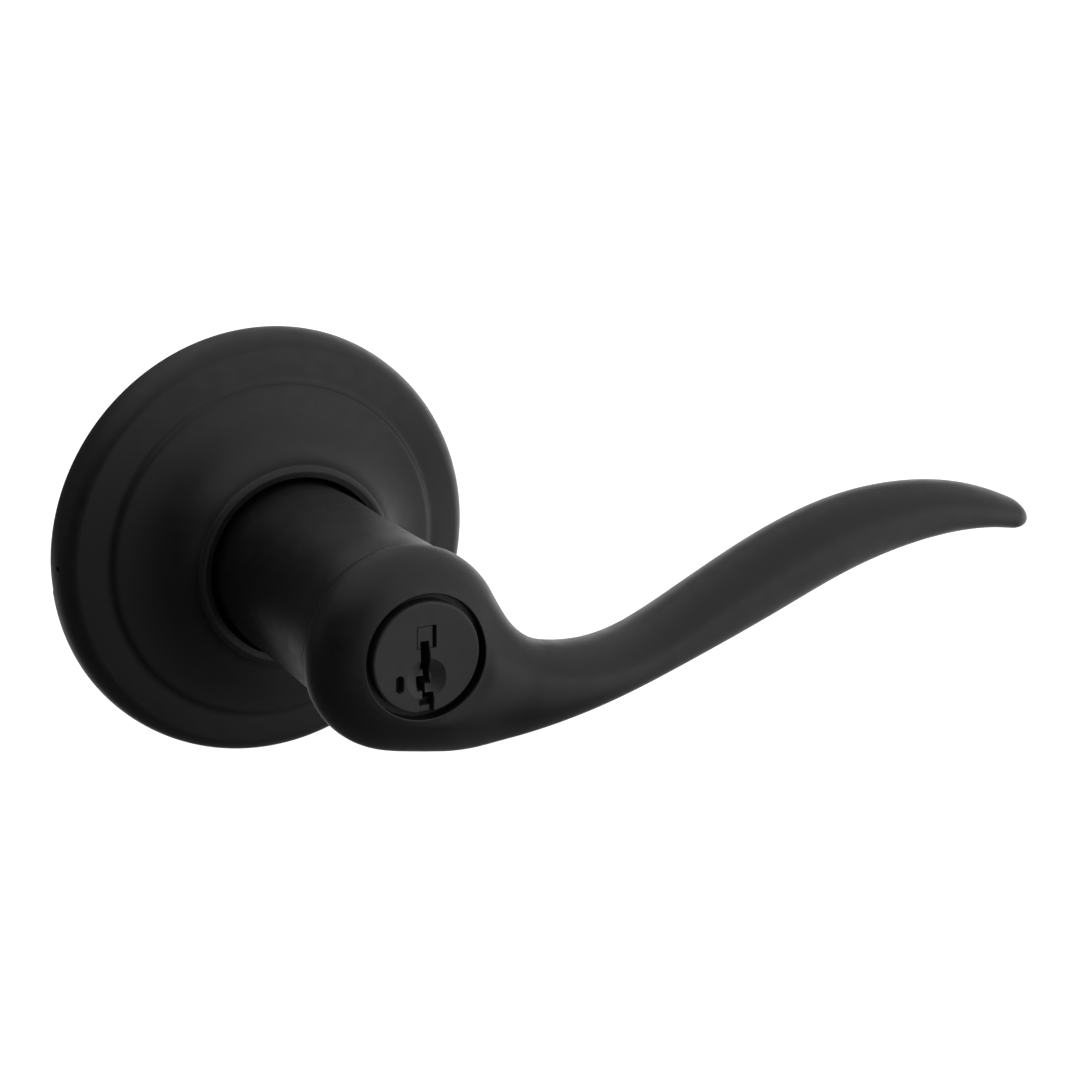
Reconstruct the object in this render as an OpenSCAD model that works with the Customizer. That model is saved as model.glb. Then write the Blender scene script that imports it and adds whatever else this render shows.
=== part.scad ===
// Keyed lever handle lockset, exterior half: rose, lever, key cylinder and the works behind them.
// +Z is up, the front faces -Y and the lever points to +X.
// The origin is on the turning axis of the lever, in the plane of the door face.
// Every module is drawn with x to the right, y up and z out from the door, and on_door() turns it.

/* [Rose] */
// Diameter of the round rose that covers the door bore
rose_d = 66.7; // [66:0.1:68]
// Thickness of the drawn sheet of the rose
rose_wall = 1.15; // [1:0.05:1.2]
// Radius of the hole in the collar of the rose, round the lever
collar_r = 13.75; // [13.72:0.01:13.85]
// Height of the collar's crest above the door
collar_z = 15.75; // [15.5:0.05:16]

/* [Lever] */
// Radius of the lever's shank at its thickest
shank_r = 13.5; // [13.4:0.05:13.5]
// Height of the lever's front face above the door
face_z = 61.2; // [61:0.1:62]
// How far the rounded rim of the head reaches inwards
head_rim_r = 8; // [7.8:0.1:8.2]
// Radius of the head at its widest
head_r = 15.1; // [15:0.1:15.2]
// Radius of the opening in the front face
mouth_r = 9.05; // [9:0.05:9.2]
// Roundness of the arm's section, where 2 is an ellipse
arm_power = 2; // [1.9:0.1:2.6]

/* [Works] */
// Distance between the two threaded posts
post_spacing = 35; // [34.5:0.5:36]
// Radius of the tapped hole in each post
post_hole_r = 1.75; // [1.5:0.05:2]
// Length of the posts behind the door face
post_len = 25; // [18:1:26]
// Outer radius of the tube that the lever turns on
tube_r = 10; // [9.9:0.05:10]
// How far the latch spindle reaches behind the door face
spindle_reach = 40; // [30:1:45]
// How far the torque blade reaches behind the door face
blade_reach = 45; // [41:1:50]

/* [Cylinder] */
// Radius of the plug where it turns in the cylinder
plug_r = 6.35; // [6.3:0.01:6.36]
// Radius of the plug's face
plug_face_r = 8.15; // [8:0.05:8.3]
// Number of key pins
pin_count = 5; // [5]
// Distance between key pins
pin_pitch = 3.8; // [3.7:0.1:3.9]
// Radius of a key pin
pin_r = 1.2; // [1.1:0.02:1.2]
// How far the locking bar slides out of the plug
bar_travel = 0.9; // [0.8:0.05:0.9]

/* [Hidden] */
$fn = 72;
fit = 0.05;
tiny = 0.03;
rose_r = rose_d / 2;
rim_inner_r = rose_r - rose_wall;
head_centre = [-0.75, -0.2, 0];
head_front = 6.6;
head_back = 4;
shoulder = [3, 5.1];
shoulder_z = 0.2;
step_out = [27.2, 5.89];
step_mid = [25.9, 6.45];
dome_foot = [24.9, 7.07];
dome_pull = [16.7, 9.1];
crest_r = 0.95;
crest_c = [collar_r + crest_r, collar_z - crest_r];
under_foot = [25.1, 5.75];
under_pull = [15.9, 9];
under_top = [collar_r, 13.2];
notch_half = 3.65;
notch_z = 0.45;
pry_hole = [0.4, 2.45];
pry_hole_r = 0.4;
plate_r = rim_inner_r - 0.1;
plate_t = 2;
boss_r = 14.5;
boss_top = 6.3;
bush_r = 11.5;
cover_t = 0.6;
cover_top = boss_top + cover_t;
skirt_r = 17.7;
skirt_wall = 0.7;
foot_r = 21.5;
foot_t = 0.8;
foot_angles = [15, 165, 270];
screw_r = 1.2;
driver_z = cover_top + 0.15;
driver_t = 0.75;
driver_reach = 18.95;
tab_half = 1.6;
tab_t = 1;
stop_angle = 54.2;
turn_wire = 0.7;
turn_r = 15.85;
turn_z = [plate_t + 0.85, plate_t + 3.6];
tube_bore = 8.4;
tube_front = 27;
tube_back = -2.2;
flange_r = 13;
flange_t = 0.8;
shoulder_t = 0.6;
post_r = 4;
spigot_r = 2.6;
washer_t = 0.35;
washer_wave = 0.05;
clip_z = -1.35;
clip_t = 0.8;
clip_groove_r = 9.4;
lever_back = 9;
slot_half = 1.5;
slot_len = 8;
carrier_z = 2;
carrier_t = 5;
spindle_r = 4;
spindle_bore = 3.05;
spindle_top = carrier_z + carrier_t - 1.6;
sleeve_r = 3.9;
sleeve_end = 24;
blade_w = 5;
blade_t = 1;
blade_end = 34;
catch_z = 20;
catch_r = 1.4;
catch_tip = 11.9;
catch_base = 7.15;
cyl_r = 9.4;
cyl_back = 33;
cyl_front = face_z - 2.15;
rib_half = 1.4;
rib_top = 10.4;
ring_t = 1.03;
plug_back = 31;
plug_front = face_z - 0.3;
plug_flange_z = cyl_front + 0.1;
clip2_z = 32;
clip2_groove_r = 5.4;
key_end = 36;
key_path = [
    [-0.9, 2.45], [0.3, 2.45], [0.68, -1.16], [0.96, -4.05], [0.16, -4.05], [-0.05, -5.2], [1.14, -5.17],
    [1, -8.5], [-1.15, -8.5], [-1.15, -5.95], [-0.72, -5.97], [-0.43, -4.97], [-1.28, -4.9],
    [-1.23, -2.8], [-0.09, -2.9], [-0.22, -1.86], [-0.81, -1.82], [-0.83, -0.78]
];
guide_r = 3.02;
guide_y = -3.1;
guide_depth = 1;
first_pin_z = 54.6;
pin_foot = 0.2;
pin_top = 3.4;
pin_lift = 2;
pin_bore_r = pin_r + fit;
cap_foot = 5.9;
cap_half = 1.5;
tooth_gap = 0.4;
tooth_pitch = 0.8;
pocket_x = 2.3;
pocket_y = [-4, 5.3];
pocket_z = [36, 57.6];
rack_x = [2.6, 3.3];
rack_y = [-3.4, 3];
rack_half = 1;
bar_half = 1.15;
bar_x = [4.95, 6.2];
bar_z = [37.05, 56.95];
tooth_tip = 2.95;
bar_spring_r = 0.45;

function pin_z(i) = first_pin_z - pin_pitch * (i - 1);
function arc(c, r, a0, a1, steps) =
    [for (i = [0:steps]) let (a = a0 + (a1 - a0) * i / steps) c + r * [cos(a), sin(a)]];
function bend(p, q, s, steps) =
    [for (i = [0:steps]) let (t = i / steps) (1 - t) * (1 - t) * p + 2 * t * (1 - t) * q + t * t * s];
function spline(a, b, c, d, t) =
    0.5 * ((2 * b) + (c - a) * t + (2 * a - 5 * b + 4 * c - d) * t * t
        + (3 * b - a - 3 * c + d) * t * t * t);
function unit(v) = v / norm(v);
function rounded(c, power) = sign(c) * pow(abs(c), 2 / power);

// Turns a piece drawn with z out from the door into the part's frame.
module on_door() rotate([90, 0, 0]) children();

// A closed skin over rings of points that all have the same count.
module skin(rings) {
    n = len(rings[0]);
    last = len(rings) - 1;
    polyhedron(
        points = [for (ring = rings) each ring],
        faces = concat(
            [[for (j = [0:n - 1]) j]],
            [for (i = [0:last - 1]) for (j = [0:n - 1]) let (k = (j + 1) % n, a = i * n, b = a + n)
                each [[a + j, b + j, b + k], [a + j, b + k, a + k]]],
            [[for (j = [n - 1:-1:0]) last * n + j]]
        ),
        convexity = 8
    );
}

// A round wire of radius r along a path of points.
module wire(path, r, sides) {
    last = len(path) - 1;
    skin([for (i = [0:last])
        let (
            along = unit(path[min(i + 1, last)] - path[max(i - 1, 0)]),
            side = unit(cross(along, abs(along[2]) > 0.9 ? [1, 0, 0] : [0, 0, 1])),
            up = cross(along, side)
        )
        [for (j = [0:sides - 1]) let (a = 360 * j / sides) path[i] + r * (cos(a) * side + sin(a) * up)]
    ]);
}

// A small compression spring along +z.
module coil(r, wire_r, length, turns, steps) {
    count = turns * steps;
    rise = length - 2 * wire_r;
    wire([for (i = [0:count]) let (a = 360 * i / steps) [r * cos(a), r * sin(a), wire_r + rise * i / count]],
        wire_r, 6);
}

// A block between two corners.
module block(low, high) translate(low) cube(high - low);

/* Rose and chassis */

// The sheet section of the rose, from the rim on the door to the collar and back underneath.
module rose_section() {
    polygon(concat(
        [[rose_r, 0]],
        [for (a = [0:10.5:84]) [rose_r - shoulder[0] * (1 - cos(a)), shoulder_z + shoulder[1] * sin(a)]],
        bend(step_out, [26.1, 5.99], step_mid, 3),
        bend(step_mid, [25.75, 6.86], dome_foot, 3),
        bend(dome_foot, dome_pull, crest_c + crest_r * [cos(12), sin(12)], 12),
        arc(crest_c, crest_r, 12, 100, 5),
        [[collar_r + 0.12, collar_z - 0.1], [collar_r, collar_z - 0.35]],
        bend(under_top, under_pull, under_foot, 8),
        [[26.2, 4.8]],
        arc([rim_inner_r - 1.9, 2.2], 1.9, 88, 0, 5),
        [[rim_inner_r, 0]]
    ));
}

module rose() {
    color("#222224") on_door() difference() {
        rotate_extrude($fn = 144) rose_section();
        translate([-rose_r - 1, 0, 0]) rotate([90, 0, 90]) linear_extrude(height = 3)
            polygon([[-notch_half, -1], [-notch_half, notch_z], [notch_half, 0.05], [notch_half, -1]]);
        translate([-rose_r - 1, pry_hole[0], pry_hole[1]]) rotate([0, 90, 0])
            cylinder(r = pry_hole_r, h = 3, $fn = 24);
    }
}

module chassis_plate() {
    color("#9a9da1") on_door() difference() {
        union() {
            cylinder(r = plate_r, h = plate_t);
            cylinder(r = boss_r, h = boss_top);
            for (side = [-1, 1]) rotate(side * stop_angle) block([-1.2, 17.95, 1], [1.2, 20.5, 5]);
        }
        translate([0, 0, -1]) cylinder(r = bush_r + tiny, h = boss_top + 2);
        translate([0, 0, -1]) cylinder(r = flange_r + fit, h = flange_t + 1);
        for (side = [-1, 1]) translate([side * post_spacing / 2, 0, -1]) {
            cylinder(r = spigot_r + tiny, h = 4);
            cylinder(r = post_r + fit, h = shoulder_t + 1);
        }
        for (a = foot_angles) rotate(a) translate([foot_r, 0, -1]) cylinder(r = screw_r + tiny, h = 4);
    }
}

// A threaded post behind the plate, with the spigot that is riveted into it.
module post(side) {
    color("#b5b8bc") on_door() translate([side * post_spacing / 2, 0, 0]) difference() {
        union() {
            translate([0, 0, -post_len]) cylinder(r = post_r, h = post_len + shoulder_t - tiny);
            cylinder(r = spigot_r, h = plate_t - tiny);
        }
        translate([0, 0, -post_len - 1]) cylinder(r = post_hole_r, h = post_len + 4);
    }
}

module spindle_bush() {
    color("#d8d2bd") on_door() rotate_extrude() polygon([
        [tube_r + fit, 2 * tiny], [flange_r, 2 * tiny], [flange_r, flange_t - tiny],
        [bush_r, flange_t - tiny], [bush_r, boss_top], [tube_r + fit, boss_top]
    ]);
}

module spring_cover() {
    window = 62;
    color("#a8abaf") on_door() difference() {
        union() {
            translate([0, 0, plate_t]) cylinder(r = skirt_r, h = cover_top - plate_t);
            for (a = foot_angles) rotate(a) hull() {
                block([skirt_r - 1, -3, plate_t], [skirt_r, 3, plate_t + foot_t]);
                translate([foot_r, 0, plate_t]) cylinder(r = 2.8, h = foot_t, $fn = 32);
            }
        }
        translate([0, 0, plate_t - 1]) cylinder(r = skirt_r - skirt_wall, h = boss_top - plate_t + 1);
        translate([0, 0, boss_top - 1]) cylinder(r = tube_r + 0.6, h = 3);
        for (a = foot_angles) rotate(a) translate([foot_r, 0, 0]) cylinder(r = screw_r + tiny, h = 5);
        for (side = [-1, 1]) linear_extrude(height = boss_top) polygon(concat(
            [[side * tab_half, skirt_r - 2], [side * tab_half, 20]],
            [for (a = [10:window / 8:window]) 20 * [side * sin(a), cos(a)]],
            [[side * 13, skirt_r * cos(window) - 1]]
        ));
    }
}

module cover_screws() {
    color("#7d8085") on_door() for (a = foot_angles) rotate(a) translate([foot_r, 0, 0]) difference() {
        union() {
            translate([0, 0, 0.2]) cylinder(r = screw_r, h = plate_t + foot_t);
            translate([0, 0, plate_t + foot_t]) cylinder(r = 2.2, h = 1.4);
        }
        for (q = [0, 90]) rotate(q) block([-1.5, -0.3, plate_t + foot_t + 0.7], [1.5, 0.3, 6]);
    }
}

// Two turns round the boss, with both legs bent out on either side of the driver's tab.
module return_spring() {
    leg_x = tab_half + turn_wire + fit;
    lean = asin(leg_x / turn_r);
    sweep = 720 - 2 * lean;
    steps = 46;
    color("#8d9094") on_door() wire(concat(
        [[-leg_x, driver_reach, turn_z[0]], [-leg_x, turn_r + 1.4, turn_z[0]]],
        [for (i = [0:steps]) let (a = 90 + lean + sweep * i / steps)
            [turn_r * cos(a), turn_r * sin(a), turn_z[0] + (turn_z[1] - turn_z[0]) * i / steps]],
        [[leg_x, turn_r + 1.4, turn_z[1]], [leg_x, driver_reach, turn_z[1]]]
    ), turn_wire, 8);
}

/* Lever */

// x, height and half height of the arm, its distance from the door and half its thickness.
arm_stations = [
    [-12, -5.8, 6.7, 54, 4.6], [-5, -6.4, 7.6, 54.2, 5], [3, -7.2, 8.2, 54.3, 5.6],
    [11, -7.9, 8.4, 54.9, 6.3], [19, -8.2, 7.1, 55.1, 6.6],
    [27, -8.6, 5.3, 54.6, 6.8], [36, -7.4, 4.7, 53.5, 6.8], [48, -3.2, 5.6, 52.3, 6.7],
    [60, 1.5, 6.3, 51.4, 6.5], [72, 5.3, 5.8, 50.8, 6.1], [84, 6.9, 5, 50.2, 5.5],
    [95, 6.6, 3.9, 49.6, 4.5], [103, 4.8, 2.4, 49.2, 3.3], [107.1, 3.3, 0.6, 49, 1.2],
    [108, 2.9, 0.1, 49, 0.6]
];

function arm_station(u) = let (i = min(floor(u), len(arm_stations) - 3), t = u - i)
    spline(arm_stations[i - 1], arm_stations[i], arm_stations[i + 1], arm_stations[i + 2], t);

module arm() {
    sides = 20;
    steps = 3;
    spans = len(arm_stations) - 3;
    skin([for (n = [0:steps * spans]) let (s = arm_station(1 + n / steps))
        [for (j = [0:sides - 1]) let (a = 360 * j / sides)
            [s[0], s[1] + s[2] * rounded(cos(a), arm_power), s[3] + s[4] * rounded(sin(a), arm_power)]]
    ]);
}

module shank() {
    rotate_extrude() polygon(concat(
        [[0, lever_back], [shank_r - 0.3, lever_back], [shank_r, lever_back + 0.3], [shank_r, 12.6]],
        [[shank_r - 0.45, 13.8], [shank_r - 0.4, 24]],
        bend([shank_r - 0.35, 30], [shank_r - 0.25, 38], [shank_r, 45], 4),
        [[shank_r, 52], [12, 54], [0, 54]]
    ));
}

module head() {
    rim_c = head_r - head_rim_r;
    wide_z = face_z - head_front;
    translate(head_centre) rotate_extrude() polygon(concat(
        [[0, wide_z - head_back]],
        [for (a = [-90:10:90])
            [rim_c + head_rim_r * cos(a), wide_z + (a > 0 ? head_front : head_back) * sin(a)]],
        [[0, face_z]]
    ));
}

module lever() {
    color("#1d1d1f") on_door() difference() {
        union() {
            shank();
            head();
            arm();
        }
        translate([0, 0, cyl_front]) cylinder(r = mouth_r, h = 4);
        translate([0, 0, 30.5]) cylinder(r = cyl_r + fit, h = cyl_front - 30.5 + fit);
        translate([0, 0, cyl_back - ring_t - fit]) cylinder(r = cyl_r + 0.7, h = ring_t + fit);
        block([-rib_half - fit, 0, cyl_back - ring_t], [rib_half + fit, rib_top + fit, cyl_front + fit]);
        translate([0, 0, lever_back - 1]) cylinder(r = 7, h = 24);
        difference() {
            translate([0, 0, lever_back - 1]) cylinder(r = tube_r + fit, h = tube_front - lever_back + 1.1);
            for (side = [0, 180]) rotate(side)
                block([tube_bore, -slot_half + fit, tube_front - slot_len + fit], [12, slot_half - fit, 29]);
        }
        translate([0, 0, catch_z]) rotate([90, 0, 0]) cylinder(r = catch_r + 0.2, h = 20);
    }
}

module drive_tube() {
    color("#b0a070") on_door() difference() {
        translate([0, 0, tube_back]) cylinder(r = tube_r, h = tube_front - tube_back);
        translate([0, 0, tube_back - 1]) cylinder(r = tube_bore, h = 40);
        block([-12, -slot_half, tube_front - slot_len], [12, slot_half, 40]);
        translate([0, 0, catch_z]) rotate([90, 0, 0]) cylinder(r = catch_r + fit, h = 20);
        translate([0, 0, clip_z - tiny]) difference() {
            cylinder(r = 12, h = clip_t + 2 * tiny);
            translate([0, 0, -1]) cylinder(r = clip_groove_r, h = 4);
        }
    }
}

module driver_plate() {
    color("#8a8d92") on_door() difference() {
        union() {
            translate([0, 0, driver_z]) cylinder(r = 13.4, h = driver_t);
            block([-tab_half, 12, driver_z], [tab_half, driver_reach, driver_z + driver_t]);
            block([-tab_half, driver_reach - tab_t, plate_t + 0.5], [tab_half, driver_reach, driver_z + 0.1]);
        }
        translate([0, 0, driver_z - 1]) cylinder(r = tube_r + tiny, h = 4);
    }
}

// A thin spring ring with three waves in it.
module wave_washer() {
    middle = -tiny - washer_t / 2 - washer_wave;
    color("#a0a3a7") on_door() wave_ring(10.3, 12.5, washer_t / 2, middle, 72);
}

module wave_ring(r0, r1, half, middle, steps) {
    function point(r, a, z) = [r * cos(a), r * sin(a), z];
    ring = [for (i = [0:steps - 1]) let (a = 360 * i / steps, z = middle + washer_wave * sin(3 * a))
        [point(r0, a, z - half), point(r1, a, z - half), point(r1, a, z + half), point(r0, a, z + half)]];
    polyhedron(
        points = [for (p = ring) each p],
        faces = [for (i = [0:steps - 1]) for (j = [0:3])
            let (k = (j + 1) % 4, m = (i + 1) % steps)
            each [[4 * i + j, 4 * m + k, 4 * m + j], [4 * i + j, 4 * i + k, 4 * m + k]]],
        convexity = 6
    );
}

// An open retaining ring, with its gap at the top.
module open_ring(r0, r1, z, t, gap) {
    translate([0, 0, z]) difference() {
        cylinder(r = r1, h = t);
        translate([0, 0, -1]) cylinder(r = r0, h = t + 2);
        block([-gap / 2, 0, -1], [gap / 2, r1 + 1, t + 1]);
    }
}

module tube_circlip() {
    color("#6d7075") on_door() open_ring(clip_groove_r + tiny, 12, clip_z, clip_t, 3);
}

module spindle_carrier() {
    color("#7f8287") on_door() difference() {
        union() {
            translate([0, 0, carrier_z]) cylinder(r = tube_bore - tiny, h = carrier_t);
            translate([0, 0, carrier_z]) cylinder(r = sleeve_r, h = sleeve_end - carrier_z);
        }
        translate([0, 0, carrier_z - 1]) cylinder(r = 3.1, h = 30);
        translate([0, 0, carrier_z - 1]) cylinder(r = spindle_r + tiny, h = carrier_t - 0.5);
    }
}

// The rolled, open-sided spindle that turns the latch.
module latch_spindle() {
    color("#9fa2a6") on_door() difference() {
        translate([0, 0, -spindle_reach]) cylinder(r = spindle_r, h = spindle_reach + spindle_top);
        translate([0, 0, -spindle_reach - 1]) cylinder(r = spindle_bore, h = spindle_reach + 12);
        block([-1.5, 2, -spindle_reach - 1], [1.5, 6, 12]);
    }
}

module catch_spring() {
    color("#a9acb0") on_door() translate([0, -catch_base + tiny, catch_z]) rotate([-90, 0, 0])
        coil(1, 0.15, catch_base - sleeve_r - 3 * tiny, 3, 10);
}

// The catch that holds the lever on the tube, pressed through the hole under the shank.
module lever_catch() {
    color("#c3c6ca") on_door() union() {
        block([-1.8, -catch_base - 0.95, catch_z - 3], [1.8, -catch_base, catch_z + 3]);
        translate([0, -catch_base, catch_z]) rotate([90, 0, 0]) rotate_extrude() polygon([
            [0, 0], [catch_r, 0], [catch_r, catch_tip - catch_base - 0.4],
            [catch_r - 0.4, catch_tip - catch_base], [0, catch_tip - catch_base]
        ]);
    }
}

/* Cylinder and plug */

// The groove in the cylinder that the locking bar drops into.
module bar_groove() {
    translate([0, 0, bar_z[0] - 0.5]) linear_extrude(height = bar_z[1] - bar_z[0] + 1)
        polygon([[5.5, -1.6], [6.2, -1.55], [7.3, -0.75], [7.3, 0.75], [6.2, 1.55], [5.5, 1.6]]);
}

module cylinder_body() {
    color("#a48f52") on_door() difference() {
        union() {
            translate([0, 0, cyl_back]) cylinder(r = cyl_r, h = cyl_front - cyl_back);
            block([-rib_half, 7, cyl_back], [rib_half, rib_top, cyl_front]);
        }
        translate([0, 0, cyl_back - 1]) cylinder(r = plug_r + fit, h = 40);
        bar_groove();
    }
}

module cylinder_ring() {
    color("#6d7075") on_door() open_ring(7.9, cyl_r + 0.65, cyl_back - ring_t, ring_t - tiny, 4);
}

module key_hole() {
    translate([0, 0, key_end]) linear_extrude(height = 30) polygon(key_path);
    translate([0, guide_y, plug_front - guide_depth])
        cylinder(r1 = guide_r - 1.92, r2 = guide_r, h = guide_depth + 0.001);
}

module plug() {
    color("#2a2a2c") on_door() {
        difference() {
            union() {
                translate([0, 0, plug_flange_z]) cylinder(r = plug_face_r, h = plug_front - plug_flange_z);
                translate([0, 0, plug_back]) cylinder(r = plug_r, h = plug_front - plug_back - 0.5);
            }
            key_hole();
            block([-1.45, 1.35, 56.5], [1.45, 4.65, 70]);
            translate([-4.08, -3.38, plug_front - 1.6]) tool_slot();
            block([pocket_x, pocket_y[0], pocket_z[0]], [8, pocket_y[1], pocket_z[1]]);
            for (i = [1:pin_count]) translate([0, 0, pin_z(i)]) {
                translate([0, pin_foot - fit, 0]) rotate([-90, 0, 0]) cylinder(r = pin_bore_r, h = 8);
                block([0.6, 0.75, -0.6], [pocket_x + 0.1, 5.3, 0.6]);
            }
            block([-cap_half - tiny, cap_foot, 37.5], [cap_half + tiny, 7, 56.5]);
            block([-blade_w / 2 - tiny, -blade_t / 2 - tiny, plug_back - 1],
                [blade_w / 2 + tiny, blade_t / 2 + tiny, blade_end]);
            translate([0, 0, clip2_z - tiny]) difference() {
                cylinder(r = 12, h = 0.8 + 2 * tiny);
                translate([0, 0, -1]) cylinder(r = clip2_groove_r, h = 4);
            }
        }
        block([-1.18, -7.9, plug_flange_z], [0.66, -7.05, plug_front - 0.5]);
    }
}

// The upright slot with round ends beside the keyway.
module tool_slot() {
    block([-0.58, -0.68, 0], [0.58, 0.68, 3]);
    for (y = [-0.68, 0.68]) translate([0, y, 0]) cylinder(r = 0.58, h = 3);
}

// The square insert above the keyway, cut out for the back of the key.
module face_insert() {
    color("#303033") on_door() difference() {
        block([-1.42, 1.38, 56.55], [0.97, 4.62, plug_front - 0.05]);
        translate([0, 0, 50]) linear_extrude(height = 20) polygon(key_path);
    }
}

module rack_carrier() {
    color("#b39b5c") on_door() difference() {
        intersection() {
            block([pocket_x + tiny, pocket_y[0] + tiny, pocket_z[0] + tiny],
                [8, pocket_y[1] - tiny, pocket_z[1] - tiny]);
            translate([0, 0, pocket_z[0]]) cylinder(r = plug_r - tiny, h = 30);
        }
        block([rack_x[1] + 0.15, -bar_half - fit, bar_z[0] - fit], [8, bar_half + fit, bar_z[1] + fit]);
        for (i = [1:pin_count]) translate([0, 0, pin_z(i)])
            block([pocket_x - 1, rack_y[0] - 0.1, -rack_half - fit],
                [rack_x[1] + 0.3, rack_y[1] + pin_lift + 0.1, rack_half + fit]);
    }
}

module spring_cap() {
    color("#c9b067") on_door() intersection() {
        block([-cap_half, cap_foot + tiny, 37.55], [cap_half, 7, 56.45]);
        translate([0, 0, 37]) cylinder(r = plug_r - tiny, h = 20, $fn = 360);
    }
}

module plug_clip() {
    color("#6d7075") on_door() rotate(90) open_ring(clip2_groove_r + tiny, 7.5, clip2_z, 0.8, 4);
}

module torque_blade() {
    color("#c0c3c7") on_door()
        block([-blade_w / 2, -blade_t / 2, -blade_reach], [blade_w / 2, blade_t / 2, blade_end - tiny]);
}

module bar_springs() {
    color("#c8cbce") on_door() for (z = [bar_z[0] + 0.55, bar_z[1] - 0.55])
        translate([rack_x[1] + 0.15 + tiny, 0, z]) rotate([0, 90, 0])
            coil(bar_spring_r - 0.1, 0.09, bar_x[0] - rack_x[1] - 0.15 - 2 * tiny, 3, 8);
}

// The bar that drops into the racks and lets the plug turn.
module locking_bar() {
    color("#cfb870") on_door() {
        translate([0, 0, bar_z[0]]) linear_extrude(height = bar_z[1] - bar_z[0]) polygon([
            [bar_x[0], -bar_half], [5.55, -bar_half], [bar_x[1], -0.5],
            [bar_x[1], 0.5], [5.55, bar_half], [bar_x[0], bar_half]
        ]);
        for (i = [1:pin_count])
            block([tooth_tip, -0.4, pin_z(i) - 0.85], [bar_x[0] + 0.1, 0.4, pin_z(i) + 0.85]);
    }
}

// A key pin: a round follower with a chamfered foot and three grooves for its rack.
module key_pin(i) {
    color("#cdb76f") on_door() translate([0, 0, pin_z(i)]) rotate([-90, 0, 0])
        rotate_extrude() polygon(concat(
            [[0, pin_foot], [pin_r - 0.5, pin_foot], [pin_r, pin_foot + 0.5]],
            [for (n = [0:2]) let (y = 1 + tooth_pitch * n)
                each [[pin_r, y], [pin_r - 0.25, y], [pin_r - 0.25, y + tooth_gap], [pin_r, y + tooth_gap]]],
            [[pin_r, pin_top - 0.1], [pin_r - 0.1, pin_top], [0, pin_top]]
        ));
}

// The rack that a pin carries with it, with the window that the locking bar needs.
module rack(i) {
    color("#d8d9db") on_door() translate([0, 0, pin_z(i)]) difference() {
        union() {
            block([rack_x[0], rack_y[0], -rack_half], [rack_x[1], rack_y[1], rack_half]);
            block([pin_r + fit, 0.9, -0.5], [rack_x[0] + 0.1, 2.9, 0.5]);
            for (n = [0:2]) let (y = 1 + tooth_pitch * n)
                block([pin_r - 0.2, y + 0.06, -0.35], [pin_r + 0.2, y + tooth_gap - 0.06, 0.35]);
        }
        block([rack_x[0] + 0.3, -2.6, -2], [rack_x[1] + 1, 0.6, 2]);
    }
}

module pin_spring(i) {
    color("#c8cbce") on_door() translate([0, pin_top + tiny, pin_z(i)]) rotate([-90, 0, 0])
        coil(0.85, 0.11, cap_foot - pin_top - 2 * tiny, 4, 10);
}

rose();
chassis_plate();
post(-1);  // post_left
post(1);  // post_right
spindle_bush();
spring_cover();
cover_screws();
return_spring();
lever();
drive_tube();
driver_plate();
wave_washer();
tube_circlip();
spindle_carrier();
latch_spindle();
cylinder_body();
cylinder_ring();
catch_spring();
lever_catch();
plug();
face_insert();
rack_carrier();
spring_cap();
plug_clip();
torque_blade();
bar_springs();
locking_bar();
for (i = [1:pin_count]) {
    key_pin(i);
    rack(i);
    pin_spring(i);
}
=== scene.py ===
"""Looks of the keyed lever lockset: pieces built round the CAD frame, materials, light and camera.

Shapes are worked out in mm as (across, height, out from the door). placed() turns them into the frame.
"""

import math

import bpy
import numpy as np
from mathutils import Matrix, Vector


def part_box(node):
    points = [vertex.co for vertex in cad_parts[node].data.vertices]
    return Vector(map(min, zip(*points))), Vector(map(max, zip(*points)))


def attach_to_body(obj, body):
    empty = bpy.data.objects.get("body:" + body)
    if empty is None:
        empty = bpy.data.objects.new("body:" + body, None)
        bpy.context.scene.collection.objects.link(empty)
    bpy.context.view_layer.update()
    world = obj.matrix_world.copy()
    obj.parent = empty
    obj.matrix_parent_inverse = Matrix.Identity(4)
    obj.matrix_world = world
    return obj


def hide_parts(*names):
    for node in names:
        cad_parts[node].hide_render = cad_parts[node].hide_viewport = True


MM = 0.001
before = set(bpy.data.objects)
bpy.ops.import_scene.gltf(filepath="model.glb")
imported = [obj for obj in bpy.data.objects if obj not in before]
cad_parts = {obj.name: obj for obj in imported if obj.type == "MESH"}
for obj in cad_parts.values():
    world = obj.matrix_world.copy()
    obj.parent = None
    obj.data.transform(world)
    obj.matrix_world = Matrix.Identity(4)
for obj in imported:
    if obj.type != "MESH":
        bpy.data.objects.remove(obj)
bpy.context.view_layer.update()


# ---------------------------------------------------------------- sizes taken from the frame

def reach(node):
    """(width from the axis, height above the door) of a node's farthest corner, in mm."""
    low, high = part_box(node)
    return max(-low.x, high.x) / MM, -low.y / MM


ROSE_R, ROSE_TOP = reach("rose")
PLUG_FACE_R, PLUG_FRONT = reach("plug")
CYL_FRONT = reach("cylinder_body")[1]
TUBE_R = reach("drive_tube")[0]
# The lever's front face stands this far out beyond the cylinder
MOUTH_DEPTH = 2.15
FACE = CYL_FRONT + MOUTH_DEPTH


# ---------------------------------------------------------------- shapes

def placed(points):
    """Points (across, height, out) in mm as points of the frame in metres."""
    p = np.asarray(points, float)
    return np.stack([p[:, 0], -p[:, 2], p[:, 1]], axis=1) * MM


def new_piece(name, points, faces):
    mesh = bpy.data.meshes.new(name)
    mesh.from_pydata(placed(points).tolist(), [], [list(map(int, f)) for f in faces])
    mesh.update()
    obj = bpy.data.objects.new(name, mesh)
    bpy.context.scene.collection.objects.link(obj)
    return obj


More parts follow.
